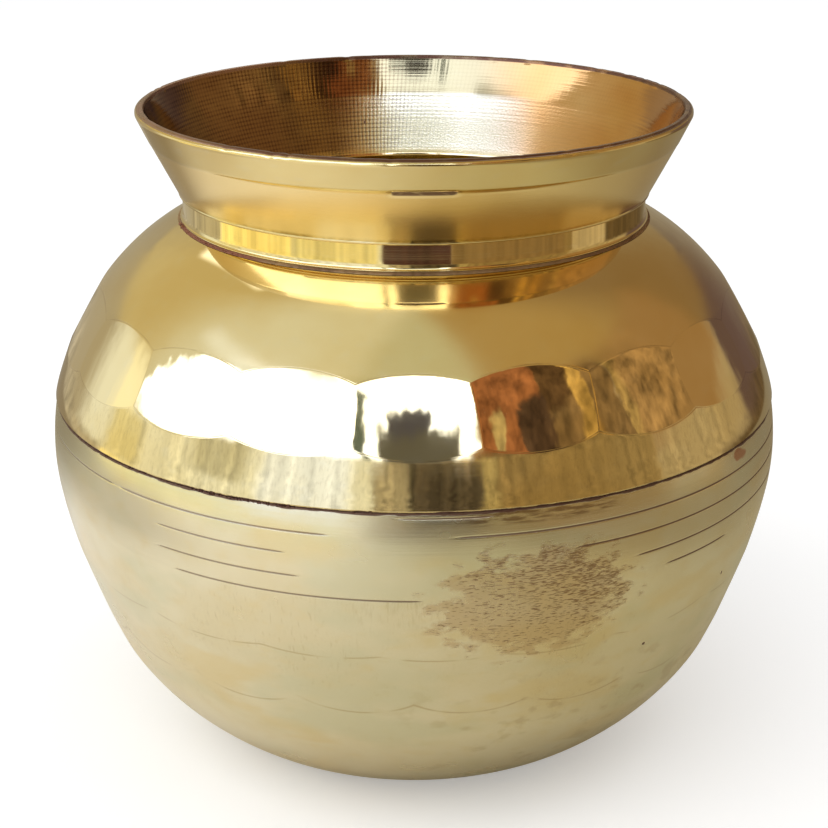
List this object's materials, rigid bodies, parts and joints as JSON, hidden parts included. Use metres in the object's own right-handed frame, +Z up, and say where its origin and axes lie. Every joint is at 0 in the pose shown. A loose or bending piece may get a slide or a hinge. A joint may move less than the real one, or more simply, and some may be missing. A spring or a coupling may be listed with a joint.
{
  "type": "lota",
  "caption": "Round-bellied brass water pot with a brazed belly seam, planished shoulder and flared open neck, for holding and pouring water.",
  "frame": {"origin": "centre of the flat base, on the surface that the pot stands on", "axes": "+Z up along the pot's axis of turning; the pot is round, so +X and +Y are any two directions across it"},
  "size_m": [0.114, 0.114, 0.102],
  "materials": {
    "satin_brass": "satin, brushed and scratched",
    "polished_brass": "polished over hammer flats",
    "turned_brass": "turned and polished",
    "braze": "dull, darkened"
  },
  "bodies": {
    "root": {"lower_shell": "satin_brass", "upper_shell": "polished_brass", "neck_collar": "turned_brass", "belly_braze": "braze", "neck_braze": "braze"}
  },
  "joints": []
}
